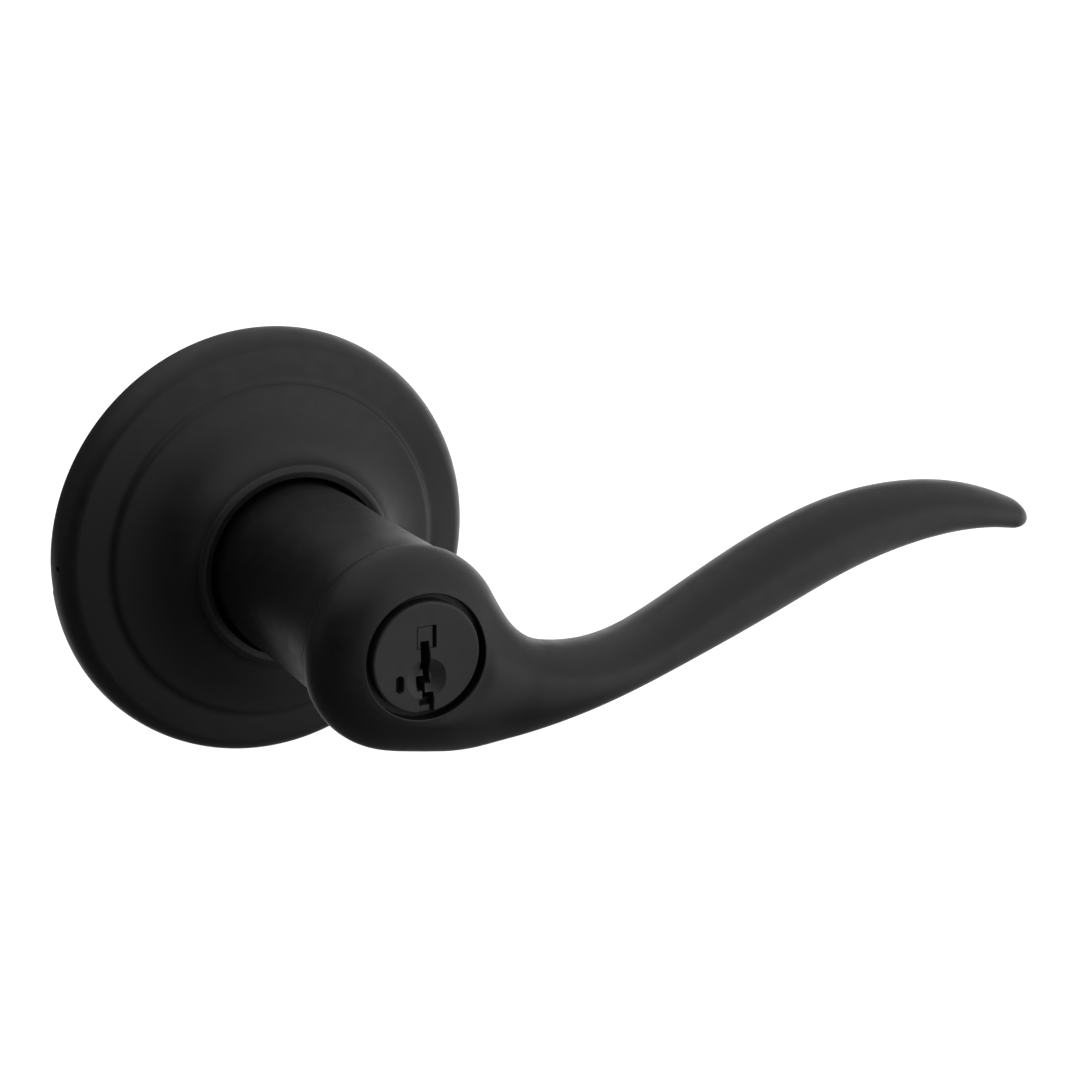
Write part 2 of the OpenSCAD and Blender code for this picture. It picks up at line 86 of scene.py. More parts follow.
def arc(centre, radius, start, end, steps):
    """Points of an arc; radius is one number or the two half axes of an ellipse."""
    rx, ry = radius if isinstance(radius, tuple) else (radius, radius)
    return [(centre[0] + rx * math.cos(a), centre[1] + ry * math.sin(a))
            for a in np.radians(np.linspace(start, end, steps + 1))]


def bend(p, q, s, steps):
    """Points of a parabola from p to s that is pulled towards q."""
    return [tuple((1 - t) ** 2 * np.array(p) + 2 * t * (1 - t) * np.array(q) + t * t * np.array(s))
            for t in np.linspace(0, 1, steps + 1)]


def rings_to_faces(rows, sides, closed):
    """Quads between rows of points; closed also joins the last row to the first."""
    faces = []
    for i in range(rows if closed else rows - 1):
        for j in range(sides):
            k = (j + 1) % sides
            m = (i + 1) % rows
            faces.append((i * sides + j, i * sides + k, m * sides + k, m * sides + j))
    return faces


def lathe(name, profile, sides=192):
    """A ring turned from a closed profile of (radius, out)."""
    a = np.arange(sides) * 2 * math.pi / sides
    points = [(r * c, r * s, out) for r, out in profile for c, s in zip(np.cos(a), np.sin(a))]
    return new_piece(name, points, rings_to_faces(len(profile), sides, True))


def turned(name, profile, sides=192, centre=(0.0, 0.0)):
    """A solid turned from an open profile of (radius, out) that starts and ends near the axis."""
    a = np.arange(sides) * 2 * math.pi / sides
    points = [(centre[0] + r * c, centre[1] + r * s, out)
              for r, out in profile for c, s in zip(np.cos(a), np.sin(a))]
    last = (len(profile) - 1) * sides
    caps = [tuple(range(sides))[::-1], tuple(last + j for j in range(sides))]
    return new_piece(name, points, rings_to_faces(len(profile), sides, False) + caps)


def outline_area(outline):
    """The area of an outline, positive when it runs anticlockwise."""
    return sum(a[0] * b[1] - b[0] * a[1] for a, b in zip(outline, outline[1:] + outline[:1])) / 2


def widened(outline, by):
    """An anticlockwise outline moved outwards by a small distance, with mitred corners."""
    before, after = outline[-1:] + outline[:-1], outline[1:] + outline[:1]
    made = []
    for a, b, c in zip(before, outline, after):
        d1, d2 = np.subtract(b, a), np.subtract(c, b)
        n1 = np.array([d1[1], -d1[0]]) / np.hypot(*d1)
        n2 = np.array([d2[1], -d2[0]]) / np.hypot(*d2)
        made.append(tuple(np.array(b) + by * (n1 + n2) / max(1 + n1 @ n2, 0.3)))
    return made


def prism(name, outline, levels):
    """A prism over an outline; levels are (out, how far the outline is widened there), upwards."""
    outline = outline if outline_area(outline) > 0 else outline[::-1]
    points = [(x, y, out) for out, by in levels for x, y in (widened(outline, by) if by else outline)]
    n, last = len(outline), (len(levels) - 1) * len(outline)
    caps = [tuple(range(n))[::-1], tuple(last + j for j in range(n))]
    return new_piece(name, points, rings_to_faces(len(levels), n, False) + caps)


def block(name, low, high):
    """A box between two corners."""
    corners = [(low[0], low[1]), (high[0], low[1]), (high[0], high[1]), (low[0], high[1])]
    return prism(name, corners, [(low[2], 0), (high[2], 0)])


def rounded_box(low, high, radius):
    """The outline of a rectangle with round corners."""
    centres = [(high[0] - radius, low[1] + radius), (high[0] - radius, high[1] - radius),
               (low[0] + radius, high[1] - radius), (low[0] + radius, low[1] + radius)]
    return [p for i, centre in enumerate(centres) for p in arc(centre, radius, 90 * i - 90, 90 * i, 4)]


def cut(obj, *cutters):
    """Takes the cutters out of obj, exactly, and removes them."""
    for tool in cutters:
        modifier = obj.modifiers.new("cut", "BOOLEAN")
        modifier.operation, modifier.solver, modifier.object = "DIFFERENCE", "EXACT", tool
    apply_modifiers(obj)
    for tool in cutters:
        bpy.data.objects.remove(tool)
    return obj


def apply_modifiers(obj):
    """Makes the modifiers part of the mesh."""
    graph = bpy.context.evaluated_depsgraph_get()
    mesh = bpy.data.meshes.new_from_object(obj.evaluated_get(graph))
    obj.modifiers.clear()
    obj.data = mesh


def smooth(obj, degrees=32):
    """Smooth shading that keeps the edges sharper than this angle."""
    mesh = obj.data
    mesh.shade_smooth()
    mesh.set_sharp_from_angle(angle=math.radians(degrees))
    return obj


def soften(obj, width):
    """Rounds the edges of a mesh in its geometry."""
    weld = obj.modifiers.new("weld", "WELD")
    weld.merge_threshold = 0.002 * MM
    bevel = obj.modifiers.new("edges", "BEVEL")
    bevel.width, bevel.segments = width * MM, 2
    bevel.limit_method, bevel.angle_limit = "ANGLE", math.radians(40)
    bevel.use_clamp_overlap = True
    bevel.harden_normals = True


# ---------------------------------------------------------------- the lever's surface

# Stations along the arm in mm: across, top, bottom, distance of the middle from the door, half thickness
ARM = [
    (-8, 8.0, -6.0, 53.0, 3.6), (0, 3.4, -11.4, 53.6, 4.6), (6, -0.1, -15.6, 54.1, 5.4),
    (13, -0.4, -16.3, 54.7, 6.2), (20, -2.2, -15.2, 55.0, 6.6), (27, -3.5, -13.8, 54.6, 6.8),
    (35, -3.0, -12.0, 53.6, 6.8), (45, 0.8, -9.4, 52.5, 6.7), (60, 7.5, -4.7, 51.4, 6.5),
    (72, 11.0, -0.5, 50.8, 6.1), (82, 11.8, 1.8, 50.2, 5.6), (92, 10.8, 2.8, 49.7, 4.9),
    (100, 8.4, 2.4, 49.3, 4.0), (107.2, 5.0, 1.0, 49.0, 2.6),
]
# Length of the rounded tip, and roundness of the section, where 2 is an ellipse
TIP_ROUND, ARM_POWER = 3.0, 2.0
# The shank's radius at distances from the door
SHANK = [
    (9, 13.5), (12.4, 13.5), (14, 13.1), (18, 13.05), (24, 13.1), (30, 13.15), (36, 13.3), (42, 13.45),
    (48, 13.5), (56, 12.2),
]
LEVER_BACK, SHANK_TOP = 9.0, 55.0
# The head: its middle and radius, then how far its rim reaches inwards, forwards and backwards
HEAD_CENTRE, HEAD_R = (-0.5, -0.5), 15.0
HEAD_RIM, HEAD_FRONT, HEAD_BACK = 9.5, 7.3, 4.0
MOUTH_R = 9.05
# Sizes of the fillets: head to neck, arm to head, edge of the flat front, and the arm's start inside the head
NECK_BLEND, ARM_BLEND, FACE_BLEND, ARM_START = 1.2, 6.8, 0.8, 7.0
# The front rises by this much between two distances from the axis, where the arm leaves the head
BROW, BROW_START, BROW_END = 0.5, 9.3, 11.8


def smooth_curve(stations):
    """The natural cubic spline through a few points (x, y)."""
    xs, ys = np.array(stations, float).T
    h = np.diff(xs)
    n = len(xs)
    a = np.eye(n)
    b = np.zeros(n)
    for i in range(1, n - 1):
        a[i, i - 1:i + 2] = h[i - 1], 2 * (h[i - 1] + h[i]), h[i]
        b[i] = 3 * ((ys[i + 1] - ys[i]) / h[i] - (ys[i] - ys[i - 1]) / h[i - 1])
    c = np.linalg.solve(a, b)

    def at(x):
        i = np.clip(np.searchsorted(xs, x) - 1, 0, n - 2)
        t = np.clip(x, xs[0], xs[-1]) - xs[i]
        slope = (ys[i + 1] - ys[i]) / h[i] - h[i] * (2 * c[i] + c[i + 1]) / 3
        return ys[i] + t * (slope + t * (c[i] + t * (c[i + 1] - c[i]) / (3 * h[i])))

    return at


arm_top, arm_bottom, arm_middle, arm_half = (
    smooth_curve([(station[0], station[k]) for station in ARM]) for k in (1, 2, 3, 4))
shank_radius = smooth_curve(SHANK)


def merge(a, b, k):
    """The smaller of two distances, with a fillet of size k where they meet."""
    h = np.clip(0.5 + 0.5 * (b - a) / k, 0, 1)
    return b + (a - b) * h - k * h * (1 - h)


def arm_section(x, y, out):
    """1 on the arm's skin, under 1 inside it."""
    top, bottom = arm_top(x), arm_bottom(x)
    end = np.clip((x - (ARM[-1][0] - TIP_ROUND)) / TIP_ROUND, 0, 0.9995)
    shrink = np.sqrt(1 - end**2)
    u = (y - (top + bottom) / 2) / ((top - bottom) / 2 * shrink)
    v = (out - arm_middle(x)) / (arm_half(x) * shrink)
    return (np.abs(u) ** ARM_POWER + np.abs(v) ** ARM_POWER + 1e-9) ** (1 / ARM_POWER)


def lever_distance(x, y, out):
    """Roughly the distance in mm from the lever's skin, negative inside."""
    e = 0.05
    s = arm_section(x, y, out)
    slope = np.sqrt(sum(((arm_section(x + dx, y + dy, out + dz) - s) / e) ** 2
                        for dx, dy, dz in ((e, 0, 0), (0, e, 0), (0, 0, e))))
    arm = -merge((1 - s) / np.maximum(slope, 0.04), x, ARM_START)
    shank = np.maximum(np.maximum(np.hypot(x, y) - shank_radius(out), out - SHANK_TOP), LEVER_BACK - out)
    middle = FACE - HEAD_FRONT
    axis = np.where(out > middle, HEAD_FRONT, HEAD_BACK)
    p = np.maximum(np.hypot(x - HEAD_CENTRE[0], y - HEAD_CENTRE[1]) - (HEAD_R - HEAD_RIM), 0)
    q = out - middle
    s = np.sqrt((p / HEAD_RIM) ** 2 + (q / axis) ** 2 + 1e-9)
    head = (s - 1) * s / np.sqrt((p / HEAD_RIM**2) ** 2 + (q / axis**2) ** 2 + 1e-6)
    whole = merge(merge(shank, head, NECK_BLEND), arm, ARM_BLEND)
    rise = np.clip((np.hypot(x, y) - BROW_START) / (BROW_END - BROW_START), 0, 1)
    front = FACE + BROW * rise**2 * (3 - 2 * rise)
    return -merge(-whole, front - out, FACE_BLEND)


def gradient(field, p, e=0.01):
    """The slope of a field at points p."""
    return np.stack([(field(*(p + e * d).T) - field(*(p - e * d).T)) / (2 * e) for d in np.eye(3)], axis=1)


def skin_of(field, low, high, step):
    """Quads over the surface where a field is 0, with one point in each grid cell that it crosses."""
    axes = [np.arange(a, b + step, step) for a, b in zip(low, high)]
    value = field(*np.meshgrid(*axes, indexing="ij"))
    n = np.array(value.shape)
    cells = tuple(n - 1)
    total = np.zeros(cells + (3,))
    count = np.zeros(cells)
    for axis in range(3):
        others = [i for i in range(3) if i != axis]
        for corner in ((0, 0), (0, 1), (1, 0), (1, 1)):
            a = [0, 0, 0]
            a[others[0]], a[others[1]] = corner
            b = list(a)
            b[axis] = 1
            f0, f1 = (value[tuple(slice(s, s + c) for s, c in zip(start, cells))] for start in (a, b))
            crossed = (f0 < 0) != (f1 < 0)
            t = np.where(crossed, f0 / np.where(crossed, f0 - f1, 1), 0)
            for i in range(3):
                total[..., i] += crossed * (a[i] + (t if i == axis else 0))
            count += crossed
    used = count > 0
    index = np.full(cells, -1)
    index[used] = np.arange(used.sum())
    points = (np.argwhere(used) + total[used] / count[used][:, None]) * step + np.array([a[0] for a in axes])
    quads = []
    for axis in range(3):
        others = [i for i in range(3) if i != axis]
        here = [slice(1, n[i] - 1) for i in range(3)]
        here[axis] = slice(0, n[axis] - 1)
        there = list(here)
        there[axis] = slice(1, n[axis])
        inside = value[tuple(here)] < 0
        crossed = np.argwhere(inside != (value[tuple(there)] < 0))
        outwards = inside[tuple(crossed.T)]
        crossed[:, others] += 1
        corners = []
        for shift in ((-1, -1), (0, -1), (0, 0), (-1, 0)):
            cell = crossed.copy()
            cell[:, others] += shift
            corners.append(index[tuple(cell.T)])
        quad = np.stack(corners, axis=1)
        backwards = outwards if axis == 1 else ~outwards
        quad[backwards] = quad[backwards][:, ::-1]
        quads.append(quad)
    for _ in range(4):
        slope = gradient(field, points)
        move = np.clip(field(*points.T) / np.maximum((slope * slope).sum(1), 0.05), -step, step)
        points = points - move[:, None] * slope
    return points, np.concatenate(quads)


def lay_normals(obj, field, near=0.02):
    """Shades the faces on a field's surface by the field itself, so that cuts leave no dents in the shine."""
    mesh = obj.data
    count = len(mesh.vertices)
    p = np.empty(count * 3)
    mesh.vertices.foreach_get("co", p)
    p = p.reshape(-1, 3)[:, [0, 2, 1]] * (1 / MM) * (1, 1, -1)
    on_skin = np.abs(field(*p.T)) < near
    g = gradient(field, p)
    g = (g / np.linalg.norm(g, axis=1)[:, None])[:, [0, 2, 1]] * (1, -1, 1)
    normals = np.zeros((len(mesh.loops), 3))
    for face in mesh.polygons:
        rows = [mesh.loops[i].vertex_index for i in face.loop_indices]
        if on_skin[rows].all() and np.dot(g[rows].mean(0), face.normal) > 0.8:
            normals[list(face.loop_indices)] = g[rows]
    mesh.normals_split_custom_set(normals.tolist())


# ---------------------------------------------------------------- materials

class Graph:
    """Nodes of a material or of the world, built up in a few calls."""

    def __init__(self, tree):
        self.tree = tree

    def feed(self, socket, value):
        if isinstance(value, bpy.types.NodeSocket):
            self.tree.links.new(value, socket)
        else:
            socket.default_value = value

    def node(self, kind, **inputs):
        made = self.tree.nodes.new(kind)
        for key, value in inputs.items():
            self.feed(made.inputs[key], value)
        return made

    def ramp(self, value, low, high, start=0.3, end=0.7):
        """low up to start, high from end, and smooth between them."""
        made = self.node("ShaderNodeMapRange", Value=value)
        made.interpolation_type = "SMOOTHSTEP"
        for key, number in zip(("From Min", "From Max", "To Min", "To Max"), (start, end, low, high)):
            made.inputs[key].default_value = number
        return made.outputs[0]

    def maths(self, operation, a, b):
        made = self.tree.nodes.new("ShaderNodeMath")
        made.operation = operation
        self.feed(made.inputs[0], a)
        self.feed(made.inputs[1], b)
        return made.outputs[0]

    def vector(self, operation, *values):
        made = self.tree.nodes.new("ShaderNodeVectorMath")
        made.operation = operation
        for socket, value in zip(made.inputs, values):
            self.feed(socket, value)
        return made.outputs

    def along(self, place, way):
        """How far a point or a direction goes along a way."""
        return self.vector("DOT_PRODUCT", place, way)["Value"]

    def length(self, place):
        return self.vector("LENGTH", place)["Value"]

    def unit(self, place):
        return self.vector("NORMALIZE", place)["Vector"]

    def mix(self, factor, a, b):
        made = self.tree.nodes.new("ShaderNodeMix")
        made.data_type = "RGBA"
        for key, value in (("Factor", factor), ("A", a), ("B", b)):
            self.feed(next(s for s in made.inputs if s.name == key and s.enabled), value)
        return next(s for s in made.outputs if s.enabled)


class Shader(Graph):
    """A node material whose textures are placed by the object's own coordinates."""

    def __init__(self, name, **inputs):
        self.material = bpy.data.materials.new(name)
        self.material.use_nodes = True
        super().__init__(self.material.node_tree)
        self.body = self.tree.nodes["Principled BSDF"]
        self.place = self.tree.nodes.new("ShaderNodeTexCoord").outputs["Object"]
        for key, value in inputs.items():
            self.body.inputs[key.replace("_", " ")].default_value = value

    def noise(self, size, detail=3.0, stretch=(1, 1, 1)):
        """Noise whose grains are about size mm."""
        scale = tuple(s / (size * MM) for s in stretch)
        scaled = self.node("ShaderNodeMapping", Vector=self.place, Scale=scale).outputs[0]
        return self.node("ShaderNodeTexNoise", Vector=scaled, Scale=1.0, Detail=detail).outputs[0]

    def edges(self):
        """1 along convex edges."""
        return self.ramp(self.node("ShaderNodeNewGeometry").outputs["Pointiness"], 0.0, 1.0, 0.53, 0.6)

    def set(self, key, value):
        self.feed(self.body.inputs[key], value)

    def bump(self, *layers):
        """Layers are (height, depth in mm)."""
        normal = None
        for height, depth in layers:
            made = self.node("ShaderNodeBump", Height=height, Distance=depth * MM, Strength=1.0)
            if normal is not None:
                self.feed(made.inputs["Normal"], normal)
            normal = made.outputs[0]
        self.set("Normal", normal)


def grey(level):
    return (level, level, level, 1.0)


def toned(colour, by):
    """A colour made paler or darker."""
    return tuple(min(1.0, c * by) for c in colour[:3]) + (1.0,)


def satin_black(name, base, roughness, grain):
    """Baked matt lacquer: a fine orange peel, faint clouds of gloss and edges rubbed a little paler."""
    shader = Shader(name, Specular_IOR_Level=0.5)
    clouds = shader.noise(9.0, 4.0)
    fine = shader.noise(0.32, 2.0)
    colour = shader.mix(shader.ramp(clouds, 0, 1), grey(base * 0.88), grey(base * 1.15))
    rubbed = shader.ramp(shader.noise(0.8, 3.0), 0.0, 0.5)
    worn = shader.maths("MULTIPLY", shader.edges(), rubbed)
    shader.set("Base Color", shader.mix(worn, colour, grey(base + 0.006)))
    shader.set("Roughness", shader.ramp(shader.noise(2.5, 4.0), roughness - 0.035, roughness + 0.035))
    shader.bump((shader.noise(1.6, 2.0), 0.004), (fine, grain))
    return shader.material


def bare_metal(name, colour, roughness, stretch, depth=0.003):
    """Plated or plain metal with drawing lines, a little tarnish and brighter edges."""
    shader = Shader(name, Metallic=1.0)
    lines = shader.noise(0.25, 3.0, stretch)
    clouds = shader.ramp(shader.noise(3.5, 5.0), 0, 1)
    tarnished = shader.mix(clouds, toned(colour, 0.75), colour)
    shader.set("Base Color", shader.mix(shader.edges(), tarnished, toned(colour, 1.15)))
    shader.set("Roughness", shader.ramp(lines, roughness - 0.07, roughness + 0.07))
    shader.bump((lines, depth))
    return shader.material


def moulded(name, colour, roughness):
    """Moulded nylon: slightly waxy, with a faint flow pattern."""
    shader = Shader(name, Subsurface_Weight=0.08, Subsurface_Scale=0.6 * MM)
    flow = shader.ramp(shader.noise(4.0, 3.0), 0, 1)
    shader.set("Base Color", shader.mix(flow, colour, toned(colour, 1.08)))
    shader.set("Roughness", shader.ramp(shader.noise(0.6, 3.0), roughness - 0.05, roughness + 0.05))
    shader.bump((shader.noise(0.4, 2.0), 0.004))
    return shader.material


LEVER_BLACK = satin_black("lever_black", 0.0045, 0.42, 0.0022)
ROSE_BLACK = satin_black("rose_black", 0.006, 0.44, 0.0025)
PLUG_BLACK = satin_black("plug_black", 0.02, 0.5, 0.004)
ZINC = bare_metal("zinc_plate", (0.66, 0.67, 0.68, 1), 0.34, (1, 1, 6))
STEEL = bare_metal("bright_steel", (0.60, 0.59, 0.58, 1), 0.26, (6, 6, 1))
SPRING = bare_metal("spring_wire", (0.42, 0.41, 0.40, 1), 0.3, (3, 3, 3), 0.002)
DARK = bare_metal("blackened_steel", (0.16, 0.16, 0.17, 1), 0.38, (2, 2, 2), 0.003)
BLACKENED = satin_black("blackened_cylinder", 0.004, 0.5, 0.004)
BRASS = bare_metal("machined_brass", (0.73, 0.55, 0.26, 1), 0.25, (1, 9, 1))
NICKEL = bare_metal("nickel_silver", (0.62, 0.58, 0.50, 1), 0.24, (1, 1, 9))
NYLON = moulded("natural_nylon", (0.62, 0.58, 0.47, 1), 0.42)


def attach(obj, body, material, slot, *nodes):
    """The last step of a piece: its material, the body it rides on and the CAD nodes it stands for."""
    obj.data.materials.clear()
    obj.data.materials.append(material)
    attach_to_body(obj, body)
    if nodes:
        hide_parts(*nodes)


# ---------------------------------------------------------------- lever

# The bore, from the back: round the tube up to TUBE_END, narrower, then round the cylinder from CORE_START
TUBE_END, NECK_R, CORE_START, CORE_R = 27.1, 7.0, 32.0, 9.45
# The rib over the cylinder, and the hole for the pin that presses the catch
RIB_HALF, RIB_FOOT, RIB_TOP = 1.45, 6, 10.45
CATCH_HOLE_R, CATCH_HOLE_DEPTH = 1.6, 20
# The radius of the mouth's rounded edge, and the size of the grid that the lever's skin is found on
MOUTH_ROLL, SKIN_STEP = 0.22, 0.6


def mouth_cutter():
    """The turned opening in the front face: its edge is rounded at whatever height the face has there."""
    sides, roll = 192, MOUTH_ROLL
    wide = MOUTH_R + roll
    a = np.arange(sides) * 2 * math.pi / sides
    heights = np.linspace(FACE - 3, FACE + 0.01, 400)
    edge = []
    for c, s in zip(np.cos(a), np.sin(a)):
        inside = lever_distance(np.full(400, wide * c), np.full(400, wide * s), heights) < 0
        edge.append(heights[inside].max())
    edge = np.array(edge)
    rings = [(MOUTH_R, np.full(sides, CYL_FRONT - 0.5)), (MOUTH_R, edge - roll - 0.15)]
    rings += [(MOUTH_R + roll * (1 - math.cos(b)), edge - roll + roll * math.sin(b))
              for b in np.radians([25, 50, 75])]
    rings += [(MOUTH_R + roll * 1.2, edge + 0.05), (MOUTH_R + roll * 1.2, edge + 2)]
    points = [(r * c, r * s, h) for r, out in rings for c, s, h in zip(np.cos(a), np.sin(a), out)]
    last = (len(rings) - 1) * sides
    caps = [tuple(range(sides))[::-1], tuple(last + j for j in range(sides))]
    return new_piece("mouth", points, rings_to_faces(len(rings), sides, False) + caps)


def make_lever():
    """The casting, with its mouth, its stepped bore, the rib's groove and the catch hole cut out."""
    points, quads = skin_of(lever_distance, (-18, -20, 8), (109, 17, 62.5), SKIN_STEP)
    lever = new_piece("lever_body", points, quads)
    tube_bore = TUBE_R + 0.05
    bore = turned("bore", [
        (tube_bore, LEVER_BACK - 1), (tube_bore, TUBE_END), (NECK_R, TUBE_END), (NECK_R, CORE_START),
        (CORE_R, CORE_START), (CORE_R, CYL_FRONT + 0.05),
    ])
    rib = block("rib", (-RIB_HALF, RIB_FOOT, CORE_START), (RIB_HALF, RIB_TOP, CYL_FRONT + 0.02))
    hole = turned("hole", [(CATCH_HOLE_R, 0), (CATCH_HOLE_R, CATCH_HOLE_DEPTH)], 48)
    downwards = Matrix.Rotation(math.radians(90), 4, "X")
    hole.data.transform(Matrix.Translation((0, -20 * MM, 0)) @ downwards)
    cut(lever, mouth_cutter(), bore, rib, hole)
    smooth(lever)
    lay_normals(lever, lever_distance)
    attach(lever, "lever_set", LEVER_BLACK, "black_lever", "lever")


# ---------------------------------------------------------------- rose

# Turns a shape that points out from the door to point right, with its height out from the door
SIDEWAYS = Matrix(((0, -1, 0), (0, 0, -1), (1, 0, 0))).to_4x4()
# The sheet's thickness, the hole in the collar and the radius of the collar's rounded crest
ROSE_WALL, COLLAR_R, CREST_R = 1.15, 13.75, 0.95
# Half axes of the rounded shoulder, whose ellipse starts a little above the door
SHOULDER, SHOULDER_FOOT = (3, 5.1), 0.2
# The soft step between the flat rim and the dome: its foot, its middle and the foot of the dome
STEP_FOOT, STEP_MIDDLE, DOME_FOOT = (27.2, 5.89), (25.9, 6.45), (24.9, 7.07)
# The pry notch: half its width, and how far it reaches from the door at its two ends
NOTCH_HALF, NOTCH_LOW, NOTCH_HIGH = 3.65, 0.05, 0.45
# The small hole beside it: its radius, how far it is from the door and how far off the notch's middle
HOLE_R, HOLE_OUT, HOLE_SIDE = 0.4, 2.45, 0.4


def rose_profile():
    """The section of the shell: shoulder, step, dome and collar outside, then back down inside."""
    inner = ROSE_R - ROSE_WALL
    crest = (COLLAR_R + CREST_R, ROSE_TOP - CREST_R)
    dome_top = arc(crest, CREST_R, 12, 12, 0)[0]
    outside = (
        arc((ROSE_R - 0.2, 0.2), 0.2, -90, 0, 3)
        + arc((ROSE_R - SHOULDER[0], SHOULDER_FOOT), SHOULDER, 0, 84, 24)[1:]
        + bend(STEP_FOOT, (26.1, 5.99), STEP_MIDDLE, 8) + bend(STEP_MIDDLE, (25.75, 6.86), DOME_FOOT, 8)[1:]
        + bend(DOME_FOOT, (16.7, 9.1), dome_top, 36)[1:] + arc(crest, CREST_R, 12, 100, 12)[1:]
    )
    inside = (
        [(COLLAR_R + 0.12, ROSE_TOP - 0.1), (COLLAR_R, ROSE_TOP - 0.35)]
        + bend((COLLAR_R, 13.2), (15.9, 9), (25.1, 5.75), 16) + [(26.2, 4.8)]
        + arc((inner - 1.9, 2.2), 1.9, 88, 0, 8) + [(inner, 0.15), (inner + 0.15, 0)]
    )
    return outside + inside


def make_rose():
    """The turned shell, with the shallow pry notch and the small hole in its left side."""
    rose = lathe("rose_shell", rose_profile(), 288)
    outline = [(-NOTCH_HALF, -1), (NOTCH_HALF, -1), (NOTCH_HALF, NOTCH_LOW), (-NOTCH_HALF, NOTCH_HIGH)]
    notch = prism("notch", outline, [(-ROSE_R - 1, 0), (-ROSE_R + 2, 0)])
    hole = turned("hole", [(HOLE_R, -ROSE_R - 1), (HOLE_R, -ROSE_R + 2)], 32, (HOLE_SIDE, HOLE_OUT))
    for tool in (notch, hole):
        tool.data.transform(SIDEWAYS)
    cut(rose, notch, hole)
    smooth(rose, 40)
    attach(rose, "chassis", ROSE_BLACK, "black_rose", "rose")


# ---------------------------------------------------------------- plug

# The warded outline of the keyway
KEY_PATH = [
    (-0.9, 2.45), (0.3, 2.45), (0.68, -1.16), (0.96, -4.05), (0.16, -4.05), (-0.05, -5.2), (1.14, -5.17),
    (1, -8.5), (-1.15, -8.5), (-1.15, -5.95), (-0.72, -5.97), (-0.43, -4.97), (-1.28, -4.9),
    (-1.23, -2.8), (-0.09, -2.9), (-0.22, -1.86), (-0.81, -1.82), (-0.83, -0.78),
]
KEY_END = 36
# Bevel round the holes in the face
EDGE = 0.09
# The plug's body, the groove for its clip, and the rounding of the face's edge
PLUG_R, CLIP_R, CLIP_BACK, CLIP_FRONT, FACE_ROUND = 6.35, 5.4, 31.95, 32.83, 0.35
# The cone that guides the key: its height on the face, its radii at the bottom and the face, and its depth
GUIDE_Y, GUIDE_LOW_R, GUIDE_R, GUIDE_DEPTH = -3.1, 1.1, 3.02, 1
# The upright slot: its middle line, the centres of its round ends, half its width and its depth
SLOT_X, SLOT_TOP, SLOT_BOTTOM, SLOT_HALF, SLOT_DEPTH = -4.08, -2.7, -4.06, 0.58, 1.6
# Behind the window for the insert: its floor, and the pocket for the racks
WINDOW_FLOOR, POCKET = 56.5, ((2.3, -4, 36), (8, 5.3, 57.6))


def opened(name, outline, bottom):
    """A cutter for a hole in the plug's face, with a small bevel round its mouth."""
    levels = [(bottom, 0), (PLUG_FRONT - EDGE, 0), (PLUG_FRONT, EDGE), (PLUG_FRONT + 1, EDGE)]
    return prism(name, outline, levels)


def make_plug():
    """The turned plug and its face, with the guide cone, keyway, window, slot and pocket cut out."""
    back = -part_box("plug")[1].y / MM
    flange = CYL_FRONT + 0.1
    round_edge = arc((PLUG_FACE_R - FACE_ROUND, PLUG_FRONT - FACE_ROUND), FACE_ROUND, 0, 90, 6)
    plug = turned("plug_body", [
        (1, back), (PLUG_R - 0.3, back), (PLUG_R, back + 0.3), (PLUG_R, CLIP_BACK),
        (CLIP_R, CLIP_BACK + 0.03), (CLIP_R, CLIP_FRONT - 0.03), (PLUG_R, CLIP_FRONT), (PLUG_R, flange),
        (PLUG_FACE_R - 0.15, flange), (PLUG_FACE_R, flange + 0.15),
    ] + round_edge + [(PLUG_FACE_R - FACE_ROUND - 0.05, PLUG_FRONT), (1, PLUG_FRONT)])
    guide = turned("guide", [
        (GUIDE_LOW_R, PLUG_FRONT - GUIDE_DEPTH), (GUIDE_R, PLUG_FRONT), (GUIDE_R + 0.1, PLUG_FRONT + 0.05),
        (GUIDE_R + 0.1, 70),
    ], 96, (0, GUIDE_Y))
    slot = arc((SLOT_X, SLOT_TOP), SLOT_HALF, 0, 180, 12)
    slot += arc((SLOT_X, SLOT_BOTTOM), SLOT_HALF, 180, 360, 12)
    window = rounded_box((-1.45, 1.35), (1.45, 4.65), 0.18)
    cut(plug, guide, opened("key", KEY_PATH, KEY_END), opened("window", window, WINDOW_FLOOR),
        opened("slot", slot, PLUG_FRONT - SLOT_DEPTH), block("pocket", *POCKET))
    smooth(plug, 20)
    attach(plug, "key_plug", PLUG_BLACK, "black_plug", "plug")


def make_key_stop():
    """The small block that closes the foot of the keyway, a little behind the face."""
    outline = rounded_box((-1.18, -7.9), (0.66, -7.05), 0.1)
    levels = [(CYL_FRONT + 0.1, 0), (PLUG_FRONT - 0.56, 0), (PLUG_FRONT - 0.5, -0.06)]
    stop = prism("key_stop", outline, levels)
    attach(smooth(stop), "key_plug", PLUG_BLACK, "black_plug")


def make_insert():
    """The square insert over the keyway, notched for the back of the key."""
    outline = rounded_box((-1.42, 1.38), (0.97, 4.62), 0.12)
    foot, front = WINDOW_FLOOR + 0.05, PLUG_FRONT - 0.15
    levels = [(foot, -0.05), (foot + 0.05, 0), (front, 0), (front + 0.1, -0.1)]
    insert = prism("face_insert_block", outline, levels)
    cut(insert, prism("key", KEY_PATH, [(50, 0), (front, 0), (PLUG_FRONT, 0.12), (70, 0.12)]))
    smooth(insert, 20)
    attach(insert, "key_plug", PLUG_BLACK, "black_plug", "face_insert")


# ---------------------------------------------------------------- works behind the rose

def numbered(name):
    return [f"{name}_{i}" for i in range(1, 6)]


